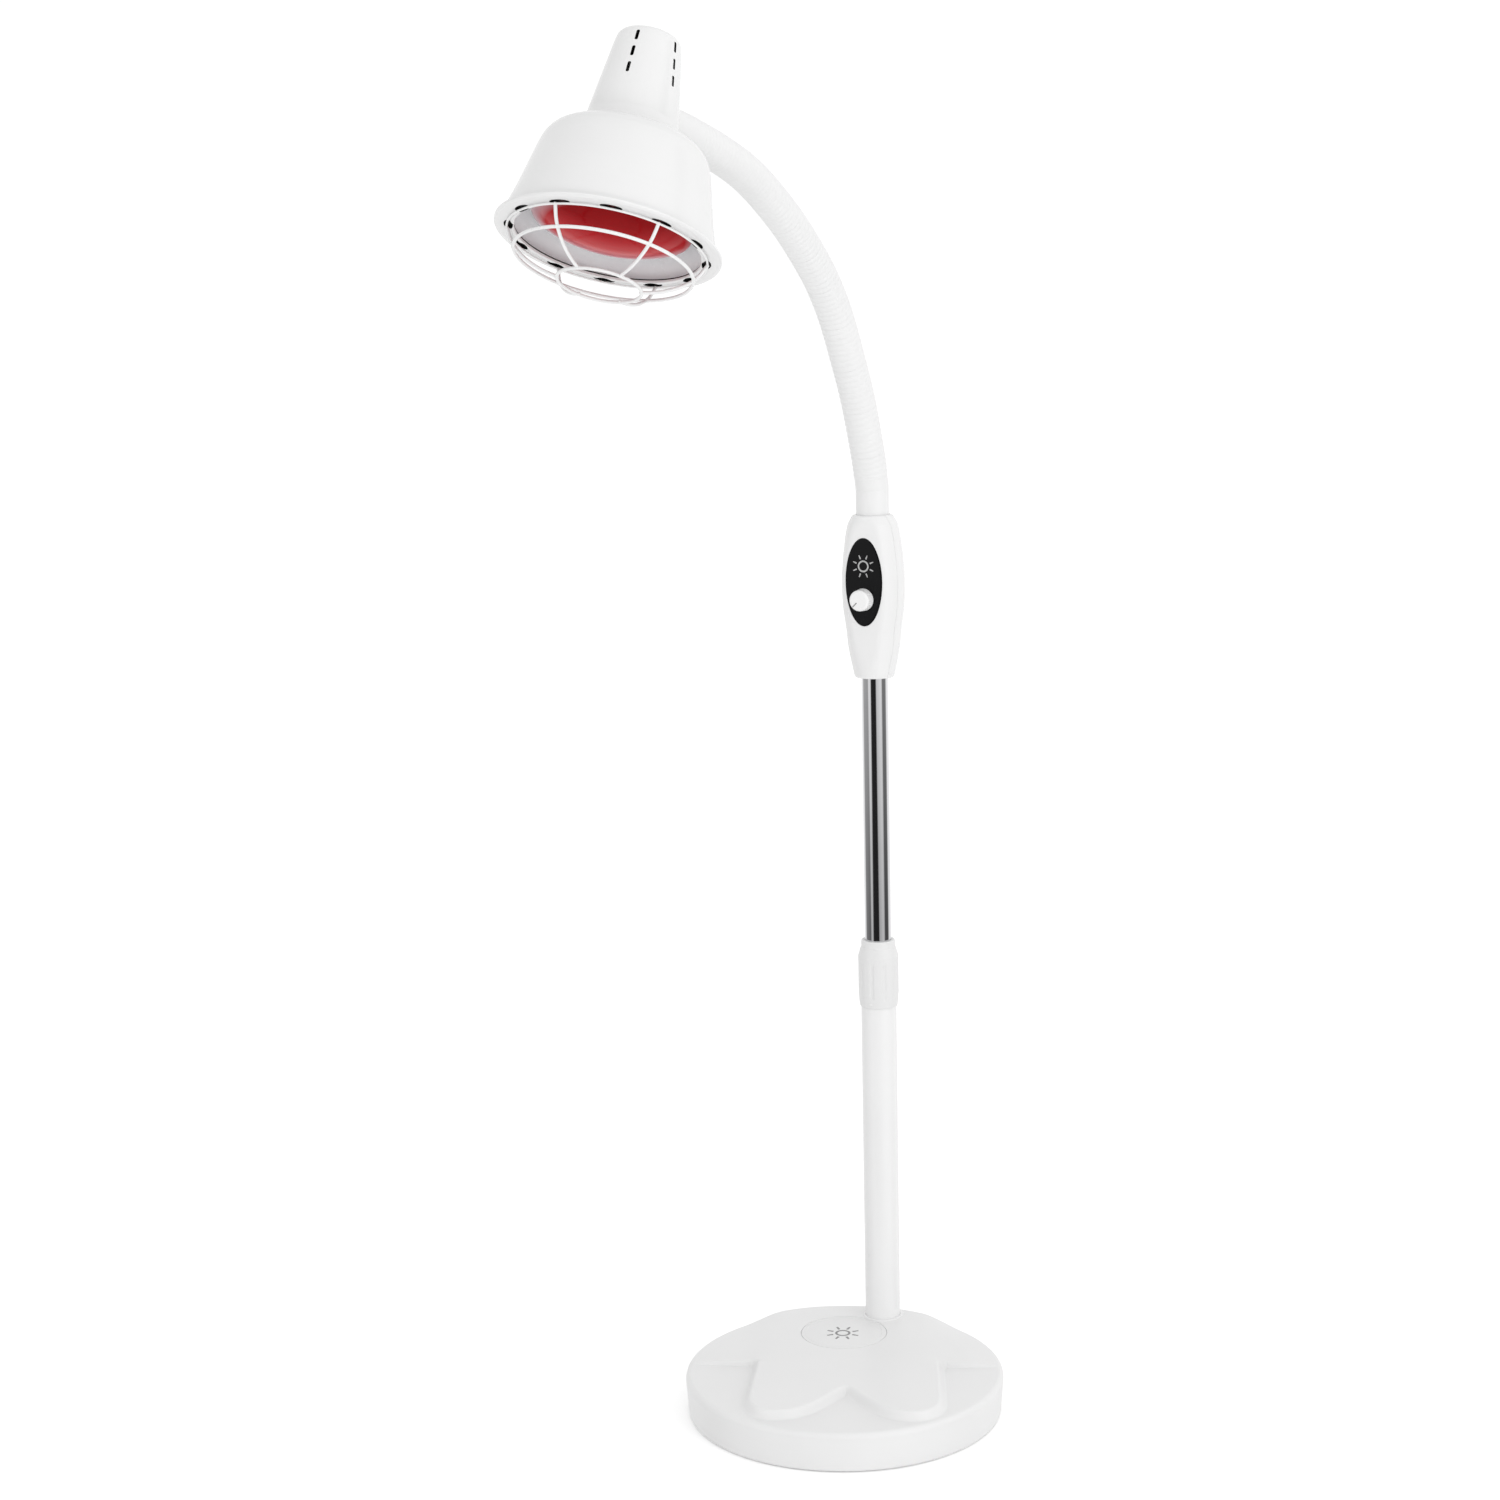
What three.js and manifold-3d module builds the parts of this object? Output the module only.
// Floor-standing infrared heat lamp: weighted round base, telescopic pole,
// control handle with a dimmer knob, articulated gooseneck and a vented
// conical shade with a reflector bulb behind a wire guard.
// Units are millimetres, +Z is up, the origin is on the floor under the
// centre of the round base, and -Y is the front of the base.

import * as THREE from 'three';
import { mergeVertices } from 'three/addons/utils/BufferGeometryUtils.js';
import Module from 'manifold-3d';

const wasm = await Module();
wasm.setup();

// ---------------------------------------------------------------- shared dimensions
const GAP = 0.3;                 // clearance between neighbouring pieces
const FACETS = 24;               // facets round a full circle, unless a piece sets its own
const DEG = Math.PI / 180;

const POLE_X = 33.4;             // pole axis, behind and right of the base centre
const POLE_Y = 120.1;
const POLE_R = 16.85;
const TUBE_R = 12.5;             // chrome tube that slides in the pole
const NECK_Z = 868;              // first gooseneck pivot above the floor
const TIP_LENGTH = 79;           // last pivot to the chimney wall

// ---------------------------------------------------------------- materials
const finish = (name, color, { roughness, metalness = 0 }) =>
  new THREE.MeshStandardMaterial({ name, color, roughness, metalness });
const WHITE_GLOSS = finish('white_gloss_plastic', 0xf2f2f2, { roughness: 0.28 });
const WHITE_SATIN = finish('white_satin_plastic', 0xeeeeee, { roughness: 0.45 });
const WHITE_PAINT = finish('white_painted_steel', 0xf0f0f0, { roughness: 0.35, metalness: 0.1 });
const CHROME = finish('chromed_steel', 0xd8d8dc, { roughness: 0.08, metalness: 1 });
const STEEL = finish('zinc_steel', 0xb9bcc0, { roughness: 0.4, metalness: 0.9 });
const IRON = finish('cast_iron', 0x3c3d3f, { roughness: 0.8, metalness: 0.4 });
const RUBBER = finish('black_rubber', 0x1c1c1d, { roughness: 0.9 });
const BLACK = finish('black_gloss_plastic', 0x101012, { roughness: 0.18 });
const GREY = finish('grey_moulded_plastic', 0x8a8c8e, { roughness: 0.55 });
const GREEN = finish('circuit_laminate', 0x2f5a3a, { roughness: 0.6 });
const RED = finish('ruby_glass', 0x9c1f22, { roughness: 0.12 });
const SILVERED = finish('silvered_glass', 0xd9d6d6, { roughness: 0.15, metalness: 0.8 });
const CERAMIC = finish('white_ceramic', 0xe9e6de, { roughness: 0.35 });
const BRASS = finish('nickelled_brass', 0xc9c0a0, { roughness: 0.3, metalness: 0.9 });

// ---------------------------------------------------------------- meshes and solids
// merges vertices, drops collapsed triangles and turns the faces outwards
function weld(source, tolerance = 1e-4) {
  const loose = source.index ? source.toNonIndexed() : source.clone();
  for (const key of Object.keys(loose.attributes)) {
    if (key !== 'position') loose.deleteAttribute(key);
  }
  const welded = mergeVertices(loose, tolerance);
  const corners = [0, 1, 2].map(() => new THREE.Vector3());
  const index = welded.index.array;
  const kept = [];
  let volume = 0;
  for (let i = 0; i < index.length; i += 3) {
    const triangle = [index[i], index[i + 1], index[i + 2]];
    if (new Set(triangle).size < 3) continue;
    kept.push(...triangle);
    triangle.forEach((v, j) => corners[j].fromBufferAttribute(welded.attributes.position, v));
    volume += corners[0].dot(corners[1].cross(corners[2]));
  }
  if (volume < 0) {
    for (let i = 0; i < kept.length; i += 3) {
      [kept[i + 1], kept[i + 2]] = [kept[i + 2], kept[i + 1]];
    }
  }
  welded.setIndex(kept);
  return welded;
}

function solid(shape) {
  if (!(shape instanceof THREE.BufferGeometry)) return shape;
  const welded = weld(shape);
  return new wasm.Manifold(new wasm.Mesh({
    numProp: 3,
    vertProperties: new Float32Array(welded.attributes.position.array),
    triVerts: new Uint32Array(welded.index.array),
  }));
}

function geometryOf(manifold) {
  const mesh = manifold.getMesh();
  const positions = new Float32Array(mesh.numVert * 3);
  for (let i = 0; i < mesh.numVert; i++) {
    for (let k = 0; k < 3; k++) {
      positions[3 * i + k] = mesh.vertProperties[i * mesh.numProp + k];
    }
  }
  const geometry = new THREE.BufferGeometry();
  geometry.setAttribute('position', new THREE.BufferAttribute(positions, 3));
  geometry.setIndex(new THREE.BufferAttribute(new Uint32Array(mesh.triVerts), 1));
  return geometry;
}

// booleans on geometries or solids
const join = (first, ...rest) => rest.reduce((body, part) => body.add(solid(part)), solid(first));
const cut = (first, ...tools) =>
  tools.reduce((body, tool) => body.subtract(solid(tool)), solid(first));
const common = (first, second) => solid(first).intersect(solid(second));

function put(parent, name, shape, material) {
  const geometry = shape instanceof THREE.BufferGeometry ? shape : geometryOf(shape);
  const mesh = new THREE.Mesh(weld(geometry, 1e-3), material);
  mesh.name = name;
  parent.add(mesh);
  return mesh;
}

// ---------------------------------------------------------------- basic shapes
// a body turned about Z from [radius, height] pairs; a profile that starts
// off the axis is closed back to its first point
function turned(pairs, facets = FACETS) {
  const points = pairs.map(([radius, z]) => new THREE.Vector2(radius, z));
  if (pairs[0][0] > 0) points.push(points[0].clone());
  return new THREE.LatheGeometry(points, facets).rotateX(Math.PI / 2);
}
const disc = (radius, z0, z1, facets) =>
  turned([[0, z0], [radius, z0], [radius, z1], [0, z1]], facets);
const ring = (inner, outer, z0, z1, facets) =>
  turned([[inner, z0], [outer, z0], [outer, z1], [inner, z1]], facets);
const box = (width, depth, height, x = 0, y = 0, z = 0) =>
  new THREE.BoxGeometry(width, depth, height).translate(x, y, z);

const extrude = (shape, depth, curveSegments) =>
  new THREE.ExtrudeGeometry(shape, { depth, bevelEnabled: false, curveSegments });
const polygon = (points) => new THREE.Shape(points.map(([x, y]) => new THREE.Vector2(x, y)));
function ellipse(halfWidth, halfHeight) {
  const shape = new THREE.Shape();
  shape.absellipse(0, 0, halfWidth, halfHeight, 0, Math.PI * 2);
  return shape;
}

// [radius, height] points along an arc, angles in degrees
function arc(centreR, centreZ, radius, from, to, steps) {
  return Array.from({ length: steps + 1 }, (_, i) => {
    const angle = (from + (to - from) * i / steps) * DEG;
    return [centreR + radius * Math.cos(angle), centreZ + radius * Math.sin(angle)];
  });
}

// ---------------------------------------------------------------- base cover and badge
const BASE_R = 149;              // widest radius, at the shoulder of the cover
const BASE_FOOT_R = 146.6;       // radius at the lower edge of the cover
const BASE_LIP_Z = 2.4;          // lower edge of the cover above the floor
const BASE_LEDGE_Z = 37.3;       // front ledge of the cover
const BASE_SIDE_Z = 41.2;        // rear side fields of the cover
const BASE_TOP_Z = 44.8;         // raised plateau
const BASE_WALL = 3.0;
const BASE_FACETS = 48;
const BASE_SHOULDER_R = 5.5;
const CEILING_Z = BASE_LEDGE_Z - BASE_WALL;
const BADGE = { x: -3, y: 72, radius: 41, facets: 32 };
const PLATEAU_X = 3.5;           // the plateau pattern sits slightly right of centre
const PLATEAU_INSET = 5;         // hollow under the plateau, inside its outline
const FLANK_X = 88.5;            // half width where the straight flanks begin

const SCREW_PITCH_R = 135.6;     // bottom plate screws
const SCREW_ANGLES = [45, 135, 225, 315].map((angle) => angle * DEG);
const atScrew = (geometry, angle) =>
  geometry.translate(SCREW_PITCH_R * Math.cos(angle), SCREW_PITCH_R * Math.sin(angle), 0);
const atEachScrew = (make) => SCREW_ANGLES.map((angle) => atScrew(make(), angle));

const atPole = (geometry) => geometry.translate(POLE_X, POLE_Y, 0);
const atBadge = (geometry) => geometry.translate(BADGE.x, BADGE.y, 0);

// The outline of the raised plateau: two rounded lobes meet in a cusp at the
// front, and straight flanks run back to the rear rim.
function plateauOutline(inset = 0) {
  const cusp = -60 + 1.6 * inset;
  const front = -118 + inset;
  const bend = -78 + inset;
  const side = 91 - inset;
  const flank = FLANK_X - inset;
  const rearX = 90 - inset;
  const rearY = inset > 0 ? 138 : 150;
  const shape = new THREE.Shape();
  shape.moveTo(0, cusp);
  shape.bezierCurveTo(-14, bend, -30, front, -62, front);
  shape.bezierCurveTo(-80, front, -side, -104, -side, -82);
  shape.bezierCurveTo(-side, -50, -flank, -20, -flank, 6);
  shape.lineTo(-rearX, rearY);
  shape.lineTo(rearX, rearY);
  shape.lineTo(flank, 6);
  shape.bezierCurveTo(flank, -20, side, -50, side, -82);
  shape.bezierCurveTo(side, -104, 80, front, 62, front);
  shape.bezierCurveTo(30, front, 14, bend, 0, cusp);
  return shape;
}

function rearSidesOutline() {
  const shape = polygon([
    [0, 0], [-FLANK_X, 4], [-152, 8], [-152, 152], [152, 152], [152, 8], [FLANK_X, 4],
  ]);
  shape.closePath();
  return shape;
}

// a plan outline of the plateau pattern, raised between two heights
const patternPrism = (shape, z0, z1, curveSegments) =>
  extrude(shape, z1 - z0, curveSegments).translate(0, 0, z0).translate(PLATEAU_X, 0, 0);

function coverBody() {
  const low = turned([
    [0, BASE_LIP_Z], [BASE_FOOT_R, BASE_LIP_Z], [BASE_R, BASE_LEDGE_Z - 6],
    ...arc(BASE_R - BASE_SHOULDER_R, BASE_LEDGE_Z - BASE_SHOULDER_R, BASE_SHOULDER_R, 20, 90, 2),
    [0, BASE_LEDGE_Z],
  ], BASE_FACETS);
  const raisedFoot = [[0, 20], [BASE_R - 0.6, 20], [BASE_R - 0.6, BASE_LEDGE_Z - 4]];
  const plateauLimit = turned([
    ...raisedFoot, [BASE_R - 2.0, BASE_TOP_Z - 4.2], [BASE_R - 4.6, BASE_TOP_Z - 1.0],
    [BASE_R - 8.5, BASE_TOP_Z], [0, BASE_TOP_Z],
  ], BASE_FACETS);
  const sideLimit = turned([
    ...raisedFoot, [BASE_R - 6, BASE_LEDGE_Z + 0.9], [BASE_R - 30, BASE_SIDE_Z],
    [0, BASE_TOP_Z - 1],
  ], BASE_FACETS);
  return join(
    low,
    common(plateauLimit, patternPrism(plateauOutline(), 10, 60, 4)),
    common(sideLimit, patternPrism(rearSidesOutline(), 10, 60, 4)),
  );
}

function baseCover() {
  const plateauHollow = common(
    disc(BASE_R - 22, 20, BASE_TOP_Z - 4.2, 24),
    patternPrism(plateauOutline(PLATEAU_INSET), 20, 50, 2),
  );
  const shell = cut(coverBody(), disc(BASE_FOOT_R - 3, 0, CEILING_Z, 36), plateauHollow);
  const badgeRecess = cut(
    atBadge(disc(BADGE.radius + GAP, BASE_TOP_Z - 1.4, 60, BADGE.facets)),
    atPole(disc(POLE_R + 3.4, 30, 60, 16)),
  );
  return cut(
    join(shell, ...atEachScrew(() => ring(2.0, 4.6, 5.4, CEILING_Z + 1, 8))),
    atPole(disc(POLE_R + GAP, 0, 60, 20)),
    badgeRecess,
  );
}

// thin disc let into the plateau, with a bite for the pole foot
const baseBadge = () => cut(
  atBadge(disc(BADGE.radius, BASE_TOP_Z - 1.1, BASE_TOP_Z - 0.1, BADGE.facets)),
  atPole(disc(POLE_R + 3.8, 30, 60, 16)),
);

// ---------------------------------------------------------------- base internals
const MAT_R = 138;
const MAT_THICKNESS = 2.0;
const PLATE_R = 141.5;
const PLATE_Z = 3.4;
const PLATE_THICKNESS = 1.6;
const BALLAST_R = 141;
const BALLAST_Z0 = 5.6;
const BALLAST_Z1 = 29.2;
const TONGUE = 52;               // flange bolt from the pole axis, towards the base centre
const TONGUE_LENGTH = TONGUE + 12;
const FLANGE_BOLT_HOLE_R = 4.4;

// places a shape on the pole axis with its -X side towards the base centre
const toPole = (geometry) =>
  geometry.rotateZ(Math.atan2(POLE_Y, POLE_X)).translate(POLE_X, POLE_Y, 0);
const toFlangeBolt = (geometry) => toPole(geometry.translate(-TONGUE, 0, 0));

const PLATE_SCREW = [            // [radius, height]
  [0, 1.0], [3.8, 1.0], [3.8, 2.2], [2.6, 3.1], [1.5, 3.1], [1.5, 16], [0, 18],
];

const floorMat = () => cut(
  disc(MAT_R, 0, MAT_THICKNESS, 36),
  ...atEachScrew(() => disc(4.6, -1, MAT_THICKNESS + 1, 8)),
);

const basePlate = () => cut(
  disc(PLATE_R, PLATE_Z, PLATE_Z + PLATE_THICKNESS, 36),
  ...atEachScrew(() => disc(2.1, 0, 8, 8)),
);

// cast disc, cleared round the screw bosses and counterbored for the two bolts
const baseBallast = () => cut(
  disc(BALLAST_R, BALLAST_Z0, BALLAST_Z1, 36),
  ...SCREW_ANGLES.flatMap((angle) => [
    atScrew(disc(5.6, 0, 40, 8), angle),
    atScrew(box(12, 10.8, 40, 0, 0, 20), angle),
  ]),
  toPole(disc(5.3, 0, 40, 12)),
  toPole(disc(11, 0, 13, 16)),
  toFlangeBolt(disc(FLANGE_BOLT_HOLE_R, 0, 40, 12)),
  toFlangeBolt(disc(9, 0, 11.5, 16)),
);

// flange with a tongue, and a spigot that fills the foot of the pole
const poleSocket = () => cut(
  join(
    toPole(disc(17.2, BALLAST_Z1 + 0.4, 33.6, 24)),
    toPole(box(TONGUE_LENGTH, 26, 4.0, -TONGUE_LENGTH / 2, 0, 31.6)),
    toPole(disc(14.5, 31, 70, 24)),
  ),
  toPole(disc(5.2, 20, 58, 12)),
  toFlangeBolt(disc(FLANGE_BOLT_HOLE_R, 20, 50, 12)),
);

const poleBolt = () => join(toPole(disc(9, 6.0, 12.4, 6)), toPole(disc(4.9, 12, 54, 12)));
const flangeBolt = () =>
  join(toFlangeBolt(disc(7.4, 6.0, 11.0, 6)), toFlangeBolt(disc(4.0, 10.5, 40.0, 12)));
const flangeNut = () => cut(
  toFlangeBolt(disc(7.2, 34.0, 38.6, 6)),
  toFlangeBolt(disc(FLANGE_BOLT_HOLE_R, 30, 45, 12)),
);

function buildBase(parent) {
  put(parent, 'base_cover', baseCover(), WHITE_GLOSS);
  put(parent, 'base_badge', baseBadge(), WHITE_SATIN);
  atEachScrew(() => turned(PLATE_SCREW, 8)).forEach((screw, i) => {
    put(parent, `plate_screw_${i + 1}`, screw, STEEL);
  });
  put(parent, 'floor_mat', floorMat(), RUBBER);
  put(parent, 'base_plate', basePlate(), STEEL);
  put(parent, 'base_ballast', baseBallast(), IRON);
  put(parent, 'pole_socket', poleSocket(), STEEL);
  put(parent, 'pole_bolt', poleBolt(), STEEL);
  put(parent, 'flange_bolt', flangeBolt(), STEEL);
  put(parent, 'flange_nut', flangeNut(), STEEL);
}

// ---------------------------------------------------------------- pole
const POLE_BORE = 14.85;
const POLE_Z0 = 34.0;
const POLE_Z1 = 404.6;
const COLLAR_Z0 = 358;
const COLLAR_Z1 = 423;
const COLLAR_R = 19.3;
const COLLAR_FLUTES = 10;
const TUBE_CLEAR_R = TUBE_R + GAP;

const GRIP_COLLET = [            // [radius, height]
  [TUBE_CLEAR_R, 366], [POLE_BORE - GAP, 366], [POLE_BORE - GAP, POLE_Z1 + GAP],
  [15.6, POLE_Z1 + GAP], [15.4, 409], [14.2, 413.5], [TUBE_CLEAR_R, 413.5],
];
const LOCK_COLLAR = [            // [radius, height]
  [POLE_R + GAP, COLLAR_Z0], [17.9, COLLAR_Z0], [18.5, 362], [COLLAR_R, 371],
  [COLLAR_R, 407], [16.9, 415.4], [16.2, 416.2], [16.2, 421.6], [15.4, COLLAR_Z1],
  [TUBE_CLEAR_R, COLLAR_Z1], [TUBE_CLEAR_R, 416.5], [14.9, 413.9], [16.4, 408.6],
  [POLE_R + GAP, 405.4],
];

function lockCollar() {
  const flutes = Array.from({ length: COLLAR_FLUTES }, (_, i) =>
    new THREE.CylinderGeometry(2.2, 2.2, 30, 5).rotateX(Math.PI / 2)
      .translate(COLLAR_R + 1.4, 0, 383).rotateZ(i * 2 * Math.PI / COLLAR_FLUTES));
  return cut(turned(LOCK_COLLAR, 30), ...flutes);
}

function buildPole(parent) {
  put(parent, 'lower_pole', ring(POLE_BORE, POLE_R, POLE_Z0, POLE_Z1), WHITE_PAINT);
  put(parent, 'grip_collet', turned(GRIP_COLLET), GREY);
  put(parent, 'lock_collar', lockCollar(), WHITE_GLOSS);
}

// ---------------------------------------------------------------- sliding tube
const TUBE_BORE = 11.3;
const TUBE_Z0 = 208;
const TUBE_Z1 = 726;
const BUSH_Z0 = 190;

const GUIDE_BUSH = [             // [radius, height]
  [0, BUSH_Z0], [12.5, BUSH_Z0], [14.4, BUSH_Z0 + 2.5], [14.4, TUBE_Z0 - GAP],
  [10.9, TUBE_Z0 - GAP], [10.9, TUBE_Z0 + 24], [9.5, TUBE_Z0 + 27], [0, TUBE_Z0 + 27],
];

function buildTube(parent) {
  put(parent, 'guide_bush', turned(GUIDE_BUSH), GREY);
  put(parent, 'chrome_tube', ring(TUBE_BORE, TUBE_R, TUBE_Z0, TUBE_Z1), CHROME);
}

// ---------------------------------------------------------------- handle
// two shells that close round the tube and the neck cuff
const HANDLE_Z0 = 677;
const HANDLE_Z1 = 830;
const HANDLE_SPLIT = 8;          // the shells part this far in front of the axis
const HANDLE_WALL = 2.4;         // wall behind the front flat
const SPLIT_GAP = 0.15;          // each shell's clearance from the parting plane
const CUTTER_Z = 755;            // mid height of the blocks that trim the handle
const CUFF_R = 15.2;
const PANEL_D = 21.8;            // flat of the handle in front of the axis
const PANEL = { z: 767.5, halfWidth: 18.5, halfHeight: 42 };
const KNOB_Z = 752.5;
const KNOB_R = 10.5;
const KNOB_H = 13;
const HANDLE_SCREWS = [{ x: 16.4, z: 700 }, { x: 16.8, z: 800 }];

const HANDLE_OUTER = [           // [radius, height]
  [13.2, HANDLE_Z0], [17.8, HANDLE_Z0], [18.9, 679], [22.6, 696.5], [24.6, 708],
  [25.6, 721], [28.7, 743], [29.3, 755], [29.3, 776], [28.0, 792], [25.4, 812],
  [23.4, 821.5], [18.6, HANDLE_Z1], [13.2, HANDLE_Z1],
];
const HANDLE_HOLLOW = [          // [radius, height]
  [0, HANDLE_Z0 + 6], [15.6, HANDLE_Z0 + 6], [21.6, 707.5], [22.6, 721], [26.2, 744],
  [26.7, 776], [25.0, 791], [22.2, 812], [20.8, 816.5], [20.8, 822.4], [0, 822.4],
];
const HANDLE_SCREW = [           // [radius, distance behind the axis]
  [0, -12.5], [1.5, -12.5], [1.5, 12.3], [2.6, 12.3], [2.6, 14.4], [0, 14.4],
];
const CONTROL_KNOB = [           // [radius, distance in front of the axis]
  [0, PANEL_D + 4.2], [4.6, PANEL_D + 4.2], [4.6, PANEL_D + 1.2],
  [KNOB_R - 0.6, PANEL_D + 1.2], [KNOB_R, PANEL_D + 2.0],
  [KNOB_R - 0.7, PANEL_D + KNOB_H - 2], [KNOB_R - 2.4, PANEL_D + KNOB_H],
  [0, PANEL_D + KNOB_H],
];

// a turned handle body with a flat this far in front of the axis
const flattened = (profile, depth) =>
  cut(turned(profile, 28), box(80, 40, 200, 0, -(depth + 20), CUTTER_Z));

// front-to-back cylinder on each handle screw axis
const screwBars = (radius, y0, y1) => HANDLE_SCREWS.map(({ x, z }) =>
  new THREE.CylinderGeometry(radius, radius, y1 - y0, 8).translate(x, (y0 + y1) / 2, z));

// the whole hollow handle with its bosses between y0 and y1, drilled for the screws
function bossedHandle(y0, y1) {
  const body = flattened(HANDLE_OUTER, PANEL_D);
  const hollowBody = cut(
    body,
    flattened(HANDLE_HOLLOW, PANEL_D - HANDLE_WALL),
    disc(TUBE_CLEAR_R, 600, 740),
    disc(CUFF_R + GAP, 800, 900),
  );
  const bosses = screwBars(3.4, y0, y1).map((bar) => common(bar, body));
  return cut(join(hollowBody, ...bosses), ...screwBars(1.9, -14.5, 40));
}

// upright oval plate between two depths, y0 in front of y1
const ovalPlate = (margin, y0, y1) =>
  extrude(ellipse(PANEL.halfWidth + margin, PANEL.halfHeight + margin), y1 - y0, 14)
    .rotateX(Math.PI / 2).translate(0, y1, PANEL.z);
const dimmerBore = () => new THREE.CylinderGeometry(4.3, 4.3, 20, 10).translate(0, -20, KNOB_Z);

const rearShell = () => common(
  cut(bossedHandle(-HANDLE_SPLIT + 0.2, 30), ...screwBars(3.0, 12.0, 40)),
  box(90, 80, 200, 0, 40 - HANDLE_SPLIT + SPLIT_GAP, CUTTER_Z),
);

// has an oval pocket for the panel and a bore for the dimmer bush
const frontShell = () => cut(
  common(
    bossedHandle(-30, -HANDLE_SPLIT - 0.2),
    box(90, 80, 200, 0, -40 - HANDLE_SPLIT - SPLIT_GAP, CUTTER_Z),
  ),
  ovalPlate(GAP, -40, -(PANEL_D - 1.2)),
  dimmerBore(),
);

const handlePanel = () =>
  cut(ovalPlate(0, -(PANEL_D + 0.5), -(PANEL_D - 0.9)), dimmerBore());

// a body turned about the knob axis, heights running forwards
const onKnobAxis = (pairs, facets) =>
  turned(pairs, facets).rotateX(Math.PI / 2).translate(0, 0, KNOB_Z);

const dimmerBody = () => join(
  box(17, 9, 19, 0, -13.6, KNOB_Z),
  onKnobAxis([[0, 17], [3.7, 17], [3.7, 25.2], [0, 25.2]], 12),
);

function buildHandle(parent) {
  put(parent, 'handle_rear_shell', rearShell(), WHITE_GLOSS);
  put(parent, 'handle_front_shell', frontShell(), WHITE_GLOSS);
  put(parent, 'handle_panel', handlePanel(), BLACK);
  HANDLE_SCREWS.forEach(({ x, z }, i) => {
    const screw = turned(HANDLE_SCREW, 8).rotateX(-Math.PI / 2).translate(x, 0, z);
    put(parent, `handle_screw_${i + 1}`, solid(screw), STEEL);
  });
  put(parent, 'dimmer_body', dimmerBody(), GREY);
  put(parent, 'control_knob', solid(onKnobAxis(CONTROL_KNOB, 24)), WHITE_GLOSS);
  put(parent, 'circuit_board', box(30, 1.6, 66, 0, -7.6, 764), GREEN);
  put(parent, 'choke_coil', solid(box(16, 9, 14, 0, -1.9, 780)), GREY);
  put(parent, 'terminal_block', solid(box(14, 8, 10, 0, -2.4, 742)), WHITE_SATIN);
}

// ---------------------------------------------------------------- gooseneck
const CUFF_Z0 = 808;
const CUFF_Z1 = 857.6;
const LINK_R = 15.9;
const SOCKET_R = 16.8;
const SOCKET_DROP = 10.4;        // rim of a cup below the pivot of its ball
const LINK_LENGTH = 46;          // pivot to pivot
// direction of each link from the vertical, leaning forwards, in degrees
const LINK_TILTS = [21, 21, 34, 34, 50, 50, 61.5, 61.5, 73, 73, 79.5];

const NECK_CUFF = [              // [radius, height]
  [0, CUFF_Z0], [CUFF_R + 0.2, CUFF_Z0], [18.4, CUFF_Z0 + 9.2], [18.4, 821.6],
  [CUFF_R, 822.4], [CUFF_R, CUFF_Z1], [0, CUFF_Z1],
];
const LINK_BALL = [[0, -LINK_R], ...arc(0, 0, LINK_R, -90, 0, 5).slice(1)];

const neckCuff = () => cut(
  turned(NECK_CUFF),
  new THREE.SphereGeometry(SOCKET_R, 18, 12).rotateX(Math.PI / 2).translate(0, 0, NECK_Z),
);

// a ball below, a plain barrel, and a cup for the next ball on top
function neckLink() {
  const cupAngle = Math.acos(SOCKET_DROP / SOCKET_R) / DEG;
  return solid(turned([
    ...LINK_BALL,
    [LINK_R, LINK_LENGTH - SOCKET_DROP],
    ...arc(0, LINK_LENGTH, SOCKET_R, -90 + cupAngle, -90, 3).slice(0, -1),
    [0, LINK_LENGTH - SOCKET_R],
  ], 16));
}

// the last link ends in a threaded nipple
const tipLink = () => join(
  turned([
    ...LINK_BALL, [LINK_R, TIP_LENGTH - 10], [LINK_R, TIP_LENGTH - 2],
    [LINK_R - 1.4, TIP_LENGTH], [0, TIP_LENGTH],
  ], 16),
  disc(6.2, TIP_LENGTH - 4, TIP_LENGTH + 14.2, 12),
);

const neckNut = () => cut(
  disc(9.8, TIP_LENGTH + 9.8, TIP_LENGTH + 13.8, 6),
  disc(6.7, TIP_LENGTH, TIP_LENGTH + 20, 12),
);

// returns the group of the last link
function buildNeck(parent) {
  put(parent, 'neck_cuff', neckCuff(), WHITE_GLOSS);
  let y = 0;
  let z = NECK_Z;
  let joint;
  LINK_TILTS.forEach((tilt, i) => {
    const isLast = i === LINK_TILTS.length - 1;
    joint = new THREE.Group();
    joint.position.set(0, y, z);
    joint.rotation.x = tilt * DEG;
    parent.add(joint);
    const name = `neck_link_${String(i + 1).padStart(2, '0')}`;
    put(joint, name, isLast ? tipLink() : neckLink(), WHITE_SATIN);
    y -= LINK_LENGTH * Math.sin(tilt * DEG);
    z += LINK_LENGTH * Math.cos(tilt * DEG);
  });
  put(joint, 'neck_nut', neckNut(), BRASS);
  return joint;
}

// ---------------------------------------------------------------- lamp head
// heights are measured from the rim plane along the lamp axis
const HEAD_OUT = 482.3;          // rim centre in front of the pole axis
const HEAD_Z = 1080.7;
const HEAD_TILT = -24.3 * DEG;
const HEAD_ROLL = 1.0 * DEG;     // small turn about the head's own Y
const NECK_AXIS_H = 110;         // where the neck axis crosses the lamp axis
const RIM_R = 88.8;
const RIM_OPEN = 73;
const RIM_VENTS = { count: 12, pitchRadius: 77.2, halfWidth: 3.1, halfLength: 8.0 };
const CHIMNEY = { baseRadius: 36.4, baseHeight: 100, taper: 0.1556 };
const SLOT_COLUMNS = 5;
const SLOT_HEIGHTS = [132.5, 147, 161.5];

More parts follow.
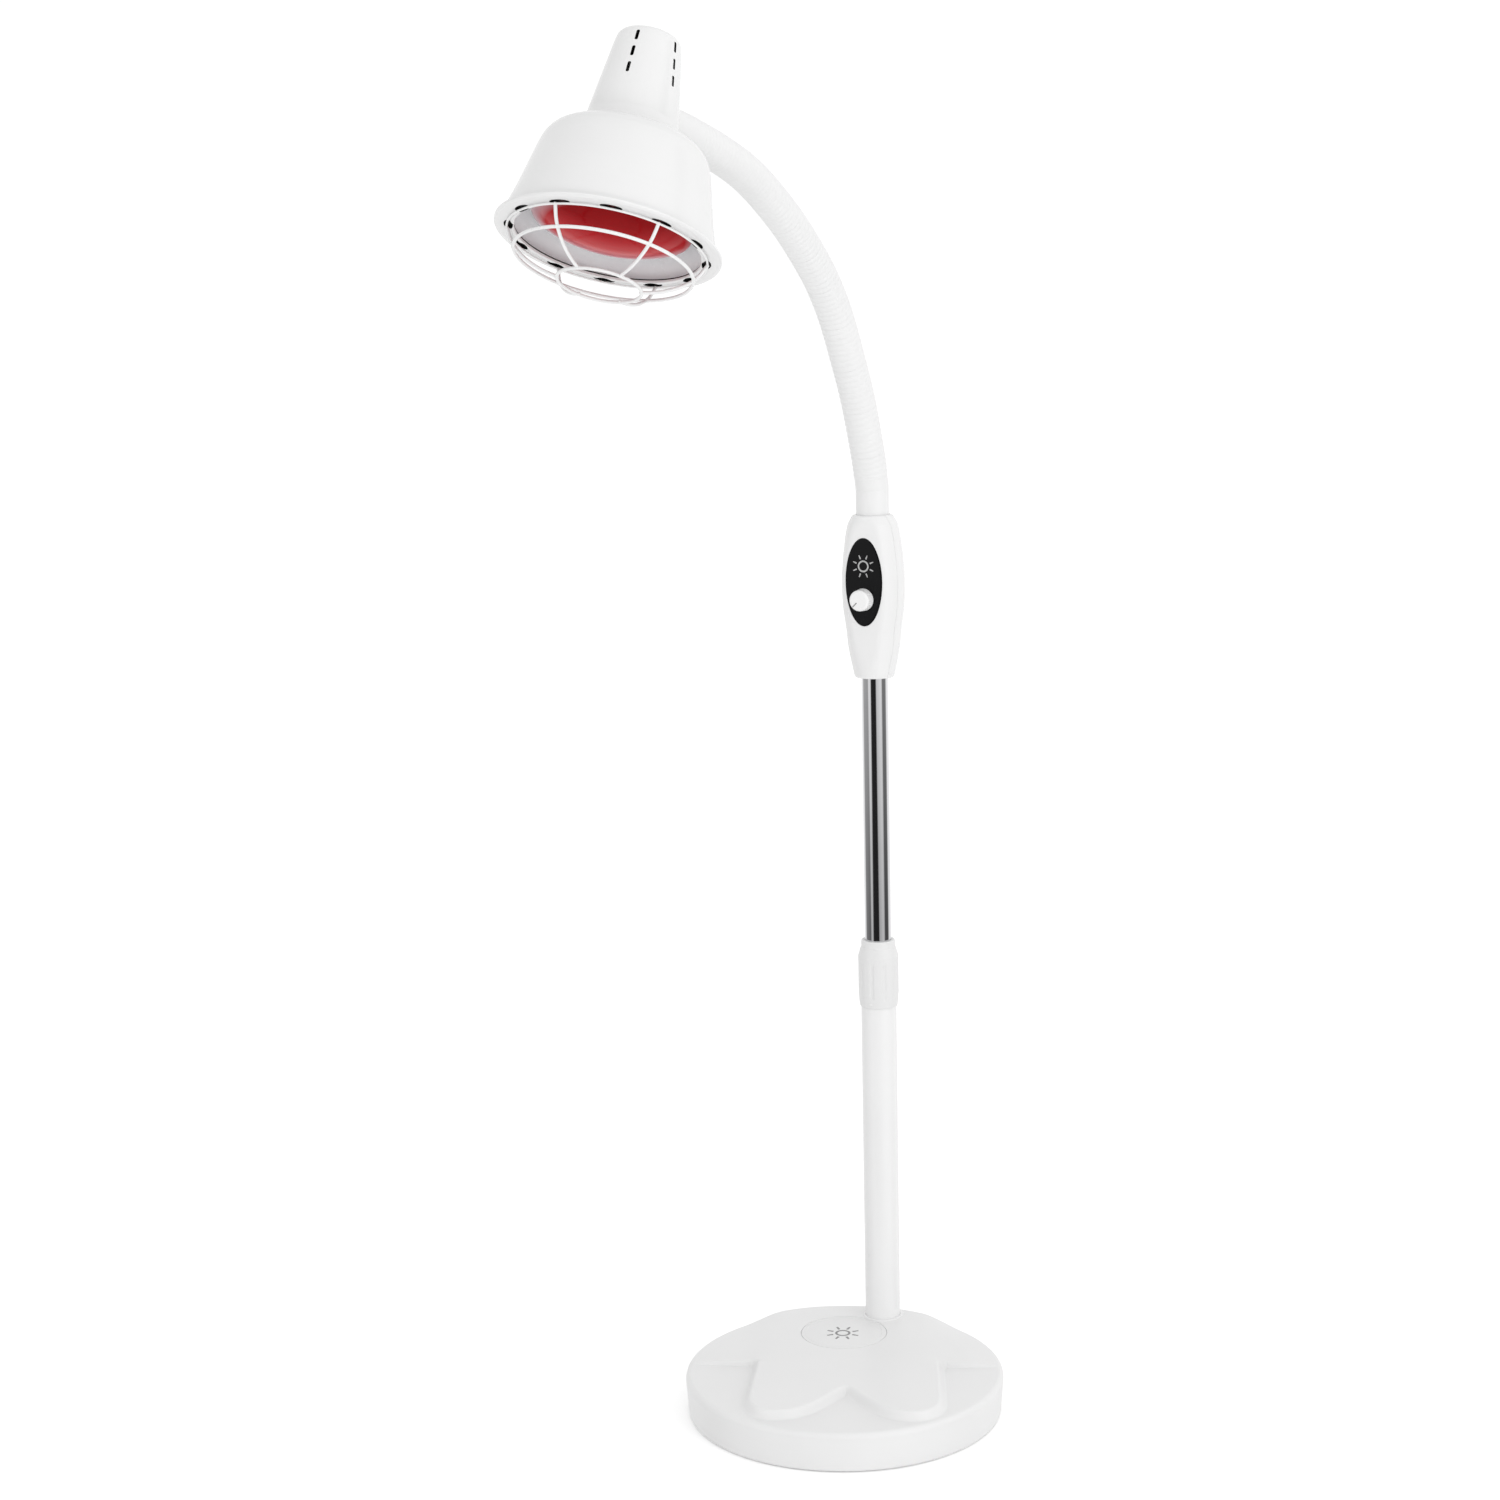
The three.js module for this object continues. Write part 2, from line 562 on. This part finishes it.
// [radius, height]: up the outside, then down the inside
const LAMP_SHADE = [
  [84.2, 2.6], [83.6, 6], [77.2, 28], [67.6, 68], [65.4, 74], [61.6, 79.6], [56.6, 83.4],
  [44.6, 88.4], [39.6, 91.8], [CHIMNEY.baseRadius, CHIMNEY.baseHeight], [26.6, 163],
  [25.2, 169], [22.6, 171.8], [0, 173],
  [0, 171.2], [22.0, 169.8], [25.0, 162.6], [34.8, 99.6], [37.8, 91.0], [43.8, 86.9],
  [55.7, 81.9], [60.6, 78.4], [64.0, 73.2], [66.0, 67.6], [75.6, 27.6], [82.0, 5.6],
  [82.6, 2.6],
];
const RIM_RING = [               // [radius, height]
  [RIM_OPEN, -0.6], [RIM_OPEN + 2, -1.4], [RIM_OPEN + 3.4, -0.4], [RIM_R - 2, -0.4],
  [RIM_R, 0.6], [RIM_R, 2.6], [85.0, 3.4], [84.9, 2.2], [81.0, 2.2], [81.0, 4.6],
  [79.6, 4.6], [79.4, 1.6], [RIM_OPEN, 1.6],
];

// the tilted head; its roll leaves the neck crossing point where it was
function makeHead() {
  const head = new THREE.Group();
  const crossing = new THREE.Vector3(0, 0, NECK_AXIS_H);
  head.rotation.set(HEAD_TILT, HEAD_ROLL, 0, 'XYZ');
  head.position.set(0, -HEAD_OUT, HEAD_Z)
    .add(crossing.clone().applyEuler(new THREE.Euler(HEAD_TILT, 0, 0)))
    .sub(crossing.clone().applyEuler(head.rotation));
  return head;
}

// conical shade with slots round the chimney; the neck enters through its rear
function lampShade(neckHole) {
  const slots = [];
  for (let k = 0; k < SLOT_COLUMNS; k++) {
    for (const height of SLOT_HEIGHTS) {
      const radius = CHIMNEY.baseRadius - (height - CHIMNEY.baseHeight) * CHIMNEY.taper;
      slots.push(box(6.5, 2.8, 9.5).rotateY(-9 * DEG).translate(radius - 0.6, 0, height)
        .rotateZ((-80 + 360 / SLOT_COLUMNS * k) * DEG));
    }
  }
  return cut(turned(LAMP_SHADE, 28), ...slots, neckHole);
}

// rim ring with oval vents
function rimRing() {
  const { count, pitchRadius, halfWidth, halfLength } = RIM_VENTS;
  const vents = Array.from({ length: count }, (_, k) =>
    extrude(ellipse(halfWidth, halfLength), 12, 3)
      .translate(pitchRadius, 0, -6).rotateZ(k * 360 / count * DEG));
  return cut(turned(RIM_RING, 36), ...vents);
}

// ---------------------------------------------------------------- wire guard
const WIRE_R = 1.4;
const WIRE_SIDES = 4;
const GUARD_BARS = 6;
const GUARD_BAR = [              // [radius, height]
  [32.6, -33.8], [52, -28.6], [69, -18.6], [76.4, -9.0], [77.4, -2.2],
];
const GUARD_RING_POINTS = 24;

const polar = (radius, angle, z) =>
  new THREE.Vector3(radius * Math.cos(angle), radius * Math.sin(angle), z);

// a wire along a list of points
function wire(points, radius, { closed = false, steps }) {
  const section = polygon(Array.from({ length: WIRE_SIDES }, (_, i) => {
    const angle = (i + 0.5) * 2 * Math.PI / WIRE_SIDES;
    return [radius * Math.cos(angle), radius * Math.sin(angle)];
  }));
  section.closePath();
  const extrudePath = new THREE.CatmullRomCurve3(points, closed, 'centripetal');
  return new THREE.ExtrudeGeometry(section, { steps, extrudePath, bevelEnabled: false });
}

function guardRing(radius, height, wireRadius, steps) {
  const points = Array.from({ length: GUARD_RING_POINTS }, (_, i) =>
    polar(radius, 2 * Math.PI * i / GUARD_RING_POINTS, height));
  return wire(points, wireRadius, { closed: true, steps });
}

// a centre ring and a middle ring carried by bars, and a thinner outer ring
function wireGuard() {
  const bars = Array.from({ length: GUARD_BARS }, (_, k) => {
    const angle = (24 + 360 / GUARD_BARS * k) * DEG;
    const points = GUARD_BAR.map(([radius, height]) => polar(radius, angle, height));
    return wire(points, WIRE_R, { steps: 5 });
  });
  return join(
    guardRing(33, -34, WIRE_R, 24),
    guardRing(70, -17, WIRE_R, 30),
    ...bars,
    guardRing(78.2, -2.6, 0.9, 30),
  );
}

// ---------------------------------------------------------------- bulb and holder
// turned profiles, [radius, height]
const BULB_BOWL = [
  [60.2, 15.7], [62.6, 15.7], [62.8, 21], [55, 45], [35, 74], [18.5, 90], [16.2, 101],
  [15.6, 112], [14.0, 112], [14.7, 100], [17, 89.4], [33.4, 73], [53.4, 44.4], [61.0, 21],
];
const BULB_LENS = [
  [0, 1.1], [20, 2.6], [40, 7.4], [60.3, 15.4], [62.6, 15.4], [62.6, 14.6], [58, 12.3],
  [40, 5.3], [20, 0.5], [0, -1.0],
];
const BULB_CAP = [
  [0, 110], [12.6, 110], [12.6, 112.4], [13.2, 112.4], [13.2, 133], [9, 138],
  [4, 140.6], [0, 140.6],
];
const LAMPHOLDER = [
  [13.7, 115], [17.6, 115], [18.8, 117], [18.8, 133], [17.2, 146.2], [0, 146.2],
  [0, 142.2], [13.7, 142.2],
];
const HOLDER_SCREW = [
  [0, 146.6], [1.6, 146.6], [1.6, 149.3], [3.4, 149.3], [3.0, 151.2], [0, 151.6],
];
const STRAP_WIDTH = 20;
const STRAP_SIDE = [             // [distance behind the lamp axis, height]
  [30.4, 107], [24.7, 147.4], [23.9, 148.9], [-8, 148.9], [-8, 147.4], [23.1, 147.4],
  [28.9, 107],
];

// strap from the neck nut up over the lampholder
const holderStrap = (neckHole) => cut(
  extrude(polygon(STRAP_SIDE), STRAP_WIDTH).rotateX(Math.PI / 2)
    .translate(0, STRAP_WIDTH / 2, 0).rotateZ(Math.PI / 2),
  neckHole,
  disc(2.0, 140, 160, 10),
);

function buildHead(parent, tip) {
  const head = makeHead();
  parent.add(head);
  tip.updateMatrix();
  head.updateMatrix();
  const tipToHead = head.matrix.clone().invert().multiply(tip.matrix);
  // a bore along the neck axis, past the chimney wall by the given reach
  const neckHole = (radius, reach, facets) =>
    disc(radius, TIP_LENGTH - 8, TIP_LENGTH + reach, facets).applyMatrix4(tipToHead);

  put(head, 'lamp_shade', lampShade(neckHole(6.8, 12, 12)), WHITE_GLOSS);
  put(head, 'rim_ring', rimRing(), WHITE_GLOSS);
  put(head, 'wire_guard', wireGuard(), WHITE_PAINT).rotation.z = 4 * DEG;
  put(head, 'bulb_bowl', turned(BULB_BOWL, 28), SILVERED);
  put(head, 'bulb_lens', turned(BULB_LENS, 28), RED);
  put(head, 'bulb_cap', turned(BULB_CAP, 20), BRASS);
  put(head, 'lampholder', turned(LAMPHOLDER, 24), CERAMIC);
  put(head, 'holder_strap', holderStrap(neckHole(6.6, 20, 16)), STEEL);
  put(head, 'holder_screw', turned(HOLDER_SCREW, 12), STEEL);
}

// ---------------------------------------------------------------- assembly
const MAST_TURN = -22.6 * DEG;   // about the pole

const group = new THREE.Group();
buildBase(group);

const onPole = new THREE.Group();
onPole.position.set(POLE_X, POLE_Y, 0);
group.add(onPole);
buildPole(onPole);

// the mast: everything that turns and slides with the chrome tube
const mast = new THREE.Group();
mast.rotation.z = MAST_TURN;
onPole.add(mast);
buildTube(mast);
buildHandle(mast);
const neckTip = buildNeck(mast);
buildHead(mast, neckTip);

export default group;
